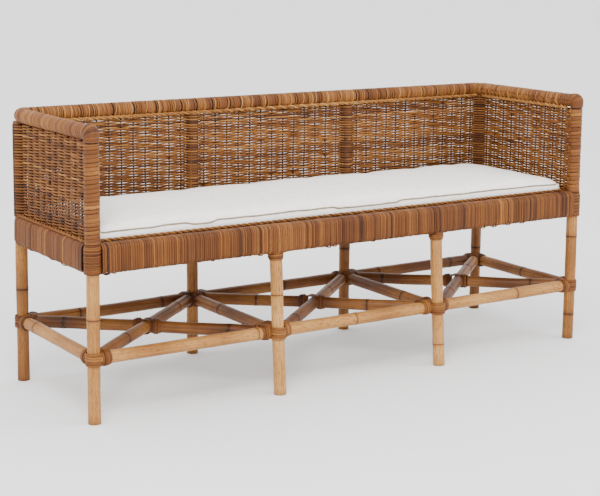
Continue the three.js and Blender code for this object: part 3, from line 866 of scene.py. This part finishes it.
def stakes_and_coils():
    """The uprights, and the strand wound round each back post under the rows; both are toned well below the
    strands as painted shade.
    """
    pile = Pile(411)
    pick = pile.random
    z = np.linspace(panel_low - 6 * MM, panel_high + 4 * MM, 14)
    for s in sorted(set(STATIONS) - set(STOPS)):
        # the uprights' low tone is painted shade
        size = STAKE * pick.uniform(0.92, 1.06)
        path = sampled(s + pile.mm(0.3, 1.2) * np.sin(z * 31 + s * 40), TRACK.s, TRACK.p)
        path[:, 2] = z
        pile.sweep(path, (0, 1, 0.01), circle(size, 8), pick.gauss(0.28, 0.07))
    for key in ("B1", "B2", "B3", "B4"):
        line = Line([(AT[key].x, back_y, panel_low), (AT[key].x, back_y, panel_high)], (0, 1, 0))
        place = 0.0
        while place < line.length - 5 * MM:
            # the coil's dark tones are painted shade
            shade = pick.uniform(0.12, 0.4)
            turn(pile, line, place, ROW, ROW, POLE + 1.9 * MM, shade, 0, 1.9 * MM, segments=14)
            place += ROW
    pile.piece("panel_uprights", WOVEN, "woven_rattan")


def braid(pile, start, end, radius, pitch, tone):
    """Two strands twisted round each other along a line."""
    line = Line([start, end], UP)
    s = np.linspace(0, line.length, int(line.length / (pitch / 10)))
    centre, a, b = line.at(s)
    wave = pile.random.uniform(0, 6)
    for k in (0, 1):
        angle = (s / pitch * 2 * math.pi + k * math.pi + wave + 0.4 * np.sin(s * 11))[:, None]
        out = a * np.cos(angle) + b * np.sin(angle)
        shade = tone + (k - 0.5) * 0.16 + 0.08 * np.sin(s * 7 + k * 2)
        pile.sweep(centre + out * radius * 0.92, out, circle(radius, 8), shade)


def stitch(pile, centre, inward, along):
    """A thin strip that ties the braid to the rail, up the inner side."""
    angle = np.radians(np.linspace(-80, 58, 12))[:, None]
    out = np.cos(angle) * np.array(inward) + np.sin(angle) * np.array(UP)
    lean = pile.mm(-3, 6) * np.linspace(-0.5, 0.5, 12)[:, None]
    path = np.array(centre) + out * (RAIL + 0.6 * MM) + lean * np.array(along)
    pile.sweep(path, out, strip(pile.mm(2.4, 3.4), 1.6 * MM), pile.random.uniform(0.75, 1.0))


def braids():
    """Twisted pairs: under the rails inside, above the side bands, and along the front and back bands."""
    pile = Pile(421)
    z = rail_z - RAIL + 0.5 * MM
    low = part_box("left_seat_band")[1].z + 3.5 * MM
    inset = 13 * MM
    y = back_y - inset
    for side in (-1, 1):
        x = side * (side_x - inset)
        braid(pile, (x, front_y + 8 * MM, z), (x, y - inset, z), 2.9 * MM, 34 * MM, 0.8)
        x = side * (side_x + 9 * MM)
        braid(pile, (x, front_y + 4 * MM, low), (x, back_y + 2 * MM, low), 2.7 * MM, 34 * MM, 0.55)
    braid(pile, (-side_x + 2 * inset, y, z), (side_x - 2 * inset, y, z), 2.9 * MM, 36 * MM, 0.8)
    for side in (-1, 1):
        for y in np.arange(front_y + 46 * MM, back_y - 50 * MM, STITCH_STEP):
            stitch(pile, (side * side_x, y + pile.mm(-5, 5), rail_z), (-side, 0, 0), (0, 1, 0))
    for x in np.arange(-side_x + 60 * MM, side_x - 50 * MM, STITCH_STEP):
        stitch(pile, (x + pile.mm(-5, 5), back_y, rail_z), (0, -1, 0), (1, 0, 0))
    low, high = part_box("front_seat_band")
    y, z = high.y - 1.5 * MM, high.z + 1.2 * MM
    braid(pile, (low.x + 4 * MM, y, z), (high.x - 4 * MM, y, z), 2.4 * MM, 36 * MM, 0.6)
    y, z = back_y + 9 * MM, z + 2 * MM
    braid(pile, (-side_x + 4 * MM, y, z), (side_x - 4 * MM, y, z), 2.7 * MM, 36 * MM, 0.5)
    pile.piece("edge_braids", WOVEN, "woven_rattan")


def collars():
    """Four turns of strip round each front middle leg, just under the band."""
    pile = Pile(431)
    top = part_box("front_seat_band")[0].z
    for node in LEGS:
        start = leaning(node, top - 17 * MM)
        direction = (leaning(node, top) - start).normalized()
        loops(pile, start, direction, POLE + STRIP + 0.5 * MM, [5.4 * MM, 5 * MM, 5.6 * MM, 5.2 * MM], 0.55)
    pile.piece("leg_collars", PEEL, "rattan_peel")


weave()
stakes_and_coils()
braids()
collars()


# ---- seat deck

DECK_STEPS = (15 * MM, 10.5 * MM)  # between the round canes, and between the flat ones
DECK_LIFT = 1.1 * MM  # how far a cane of the deck passes over or under another


def deck():
    """Cane woven over and under across the whole seat."""
    low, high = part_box("woven_seat_deck")
    pile = Pile(501)
    z = (low.z + high.z) / 2
    places = [np.arange(low.x + 6 * MM, high.x - 4 * MM, DECK_STEPS[0]),
              np.arange(low.y + 5 * MM, high.y - 4 * MM, DECK_STEPS[1])]
    flat = circle(1, 6)[0] * (4.4 * MM, 1.3 * MM)
    for along, section, tone in ((1, circle(1.9 * MM, 6), 0.5), (0, flat, 0.55)):
        crossed = places[along]
        run = np.linspace(low[along], high[along], len(crossed) * 2 + 1)
        lift = np.cos(math.pi * (run - crossed[0]) / DECK_STEPS[along]) * (1 if along else -1) * DECK_LIFT
        for number, place in enumerate(places[1 - along]):
            path = np.empty((len(run), 3))
            path[:, along] = run
            path[:, 1 - along] = place
            path[:, 2] = z + lift * (1 if number % 2 else -1)
            pile.sweep(path, UP, section, pile.random.gauss(tone, 0.12))
    pile.piece("seat_deck_weave", WOVEN, "woven_rattan", stands_for=["woven_seat_deck"])


deck()


# ---- cushion

PAD_CORNER = 16 * MM  # radius of the cushion's corners in plan
BORDER = 34 * MM  # height of the cushion's border
VOXEL = 9 * MM  # size of the blank's faces
TILT = 4 * MM  # how much higher the pad is at the back
GATHERS = (-0.55, -0.33, -0.12, 0.08, 0.29, 0.47, 0.62)  # where the back edge dips
PUCKER_X = -0.24  # where the front edge is puckered
MOST_PULL = np.array((3, 3, 0.3)) * MM  # how far the cloth may take a point down along each axis
MOST_SWELL = np.array((3, 3, 9)) * MM  # and up


def outline(half_x, half_y, corner, step):
    """Points round a rounded rectangle in plan, evenly spaced, with outward directions."""
    points, out = [], []
    for sx, sy, first in ((1, 1, 0), (-1, 1, 90), (-1, -1, 180), (1, -1, 270)):
        for t in np.radians(np.linspace(first, first + 90, 7)):
            u, v = math.cos(t), math.sin(t)
            out.append((u, v))
            points.append((sx * (half_x - corner) + corner * u, sy * (half_y - corner) + corner * v))
    points, out = np.array(points + points[:1]), np.array(out + out[:1])
    lengths = distances(points)
    s = np.linspace(0, lengths[-1], int(lengths[-1] / step))
    return s, sampled(s, lengths, points), unit(sampled(s, lengths, out))


def cushion_blank(low, high):
    """A closed pad with rounded corners, evenly meshed."""
    _, points, _ = outline((high.x - low.x) / 2, (high.y - low.y) / 2, PAD_CORNER, 8 * MM)
    centre = (low + high) / 2
    points = points[:-1]
    count = len(points)
    verts = [(centre.x + p[0], centre.y + p[1], z) for z in (low.z, high.z) for p in points]
    faces = [tuple(reversed(range(count))), tuple(range(count, 2 * count))]
    faces += [(k, (k + 1) % count, count + (k + 1) % count, count + k) for k in range(count)]
    mesh = bpy.data.meshes.new("cushion")
    mesh.from_pydata(verts, [], faces)
    pad = placed("cushion", mesh)
    remesh = pad.modifiers.new("remesh", "REMESH")
    remesh.mode = "VOXEL"
    remesh.voxel_size = VOXEL
    bake(pad)
    return pad


def bake(thing):
    """Replaces a piece's mesh by what its modifiers make of it."""
    graph = bpy.context.evaluated_depsgraph_get()
    thing.data = bpy.data.meshes.new_from_object(thing.evaluated_get(graph))
    thing.modifiers.clear()


def inflate(pad):
    """Where the pad's points are when it is blown up a little as cloth."""
    cloth = pad.modifiers.new("cloth", "CLOTH")
    settings = cloth.settings
    settings.quality = 5
    settings.use_pressure = True
    settings.uniform_pressure_force = 4
    settings.tension_stiffness = 18
    settings.compression_stiffness = 12
    settings.bending_stiffness = 0.6
    settings.effector_weights.gravity = 0
    scene = bpy.context.scene
    for number in range(1, 21):
        scene.frame_set(number)
    graph = bpy.context.evaluated_depsgraph_get()
    blown = pad.evaluated_get(graph).data
    co = np.empty(len(blown.vertices) * 3)
    blown.vertices.foreach_get("co", co)
    pad.modifiers.clear()
    scene.frame_set(1)
    return co.reshape(-1, 3)


def waves(x, y, seed):
    """Slow uneven hills over a face, from a few crossing waves."""
    pick = random.Random(seed)
    total = np.zeros(len(x))
    for _ in range(9):
        heading = pick.uniform(0, 2 * math.pi)
        fineness = pick.uniform(9, 34)
        along = x * math.cos(heading) + y * math.sin(heading)
        total += np.sin(fineness * along + pick.uniform(0, 6)) / fineness * 14
    return total / 4


def pad_shape(pad, low, high):
    """Where the pad's points go: blown up, crowned, uneven, pulled in at the seam, gathered and puckered."""
    rest = np.empty(len(pad.data.vertices) * 3)
    pad.data.vertices.foreach_get("co", rest)
    rest = rest.reshape(-1, 3)
    shape = rest.copy()
    shape = rest + np.clip(inflate(pad) - rest, -MOST_PULL, MOST_SWELL)
    x, y, z = rest.T
    half_x, half_y = (high.x - low.x) / 2, (high.y - low.y) / 2
    from_middle = y - (low.y + high.y) / 2
    top = np.clip((z - low.z) / (high.z - low.z) - 0.4, 0, 0.6) / 0.6
    across = np.clip(1 - (x / half_x) ** 12, 0, 1) * np.clip(1 - (from_middle / half_y) ** 6, 0, 1)
    rise = across * CROWN - (1 - across) * 4 * MM * np.clip(np.abs(x) / half_x, 0, 1) ** 8
    rise += waves(x, y, 5) * 2.2 * MM
    rise += 2.5 * MM * np.sin(x * 9.5 + 1.1) * across
    edge_x, edge_y = half_x - np.abs(x), half_y - np.abs(from_middle)
    pull = bell(np.minimum(edge_x, edge_y), 22 * MM, 16 * MM)
    rise += pull * 1.3 * MM * np.sin(x * 61 + 3 * np.sin(x * 9)) * np.sin(y * 47 + 1)
    back = np.clip((y - low.y) / (high.y - low.y), 0, 1)
    rise += TILT * back * across
    for gather in GATHERS:
        rise -= bell(x, gather, 26 * MM) * back ** 2 * 5 * MM * np.clip(edge_x / (40 * MM), 0, 1)
    pucker = bell(x, PUCKER_X, 34 * MM) * bell(y, low.y, 16 * MM)
    rise += pucker * 1.5 * MM * np.sin(x * 190 + 1)
    corner = bell(edge_x + edge_y, 0, 46 * MM)
    shape[:, 0] += np.sign(x) * corner * 17 * MM
    shape[:, 1] += pucker * 3 * MM * np.sin(x * 230) + np.sign(from_middle) * corner * 5 * MM
    shape[:, 2] = np.minimum(shape[:, 2] + rise * top, high.z + 29 * MM)
    return shape


def sew_piping(mesh, low, high):
    """A cord along the upper and the lower seam, laid on the nearest points of the pad."""
    tree = kdtree.KDTree(len(mesh.vertices))
    for index, vertex in enumerate(mesh.vertices):
        tree.insert(vertex.co, index)
    tree.balance()
    piping = Pile(601)
    centre = (low + high) / 2
    half = (high - low) / 2 - Vector((2, 2, 0)) * MM
    s, points, out = outline(half.x, half.y, PAD_CORNER, 6 * MM)
    for z in (high.z - 6.5 * MM, low.z + 3.5 * MM):
        path = np.array([tree.find((centre.x + x, centre.y + y, z))[0] for x, y in points])
        for _ in range(3):
            path = (np.roll(path[:-1], 1, 0) + 2 * path[:-1] + np.roll(path[:-1], -1, 0)) / 4
            path = np.vstack([path, path[:1]])
        path[:, :2] += out * 1.0 * MM
        path[:, 2] += 0.5 * MM * np.sin(s * 37) + 0.3 * MM * np.sin(s * 83)
        path = np.vstack([path, path[1:2]])
        outward = np.column_stack([np.vstack([out, out[1:2]]), np.zeros(len(path))])
        piping.sweep(path, outward, circle(2.1 * MM, 8), 0.5)
    piping.piece("cushion_piping", CORD_AND_SEAM_SHADE, "cushion_canvas", body="cushion")


def make_cushion():
    low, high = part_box("seat_cushion")
    high.z = low.z + BORDER
    pad = cushion_blank(low + Vector((2, 2, 0.8)) * MM, high - Vector((2, 2, 5)) * MM)
    pad.data.vertices.foreach_set("co", pad_shape(pad, low, high).ravel())
    smooth = pad.modifiers.new("finer", "SUBSURF")
    smooth.levels = smooth.render_levels = 1
    bake(pad)
    hand_in(pad, CANVAS, "cushion", ["seat_cushion"])
    sew_piping(pad.data, low, high)


make_cushion()


# ---- camera, light and floor

def camera():
    data = bpy.data.cameras.new("camera")
    data.lens = 89.875
    data.sensor_width = 36
    data.shift_y = -0.1139
    thing = placed("camera", data)
    yaw, pitch, roll = math.radians(33.33), math.radians(9.0), math.radians(0.57)
    level = Matrix.Rotation(-yaw, 4, "Z") @ Matrix.Rotation(math.pi / 2 - pitch, 4, "X")
    place = Matrix.Translation((-2.2933, -3.4079, 1.1621))
    thing.matrix_world = place @ level @ Matrix.Rotation(roll, 4, "Z")
    bpy.context.scene.camera = thing


def soft_light(name, place, target, size, power):
    data = bpy.data.lights.new(name, "AREA")
    data.shape = "DISK"
    data.size = size
    data.energy = power
    thing = placed(name, data)
    thing.location = place
    thing.rotation_euler = (Vector(target) - Vector(place)).to_track_quat("-Z", "Y").to_euler()


FLOOR_REACH = 40  # half of the floor's width, so that its far edge is above the picture


def studio():
    world = bpy.data.worlds.new("studio")
    bpy.context.scene.world = world
    world.use_nodes = True
    preset(world.node_tree.nodes["Background"], Color=(1, 1, 1, 1), Strength=2.1)
    soft_light("key", (-2.6, -3.4, 4.2), (0, 0, 0.3), 2.6, 240)
    soft_light("fill", (3.2, -2.6, 2.6), (0, 0, 0.4), 3.0, 60)
    mesh = bpy.data.meshes.new("floor")
    corners = [(x * FLOOR_REACH, y * FLOOR_REACH, 0) for x, y in ((-1, -1), (1, -1), (1, 1), (-1, 1))]
    mesh.from_pydata(corners, [], [(0, 1, 2, 3)])
    floor = placed("floor", mesh)
    material, tree, shader = new_material("pale_floor")
    tint = ramp(tree, noise(tree, 3.0), "Fac", [(0.3, (0.86, 0.86, 0.86, 1)), (0.7, (0.88, 0.88, 0.88, 1))])
    tree.links.new(tint.outputs["Color"], shader.inputs["Base Color"])
    preset(shader, Roughness=0.9)
    mesh.materials.append(material)


camera()
studio()
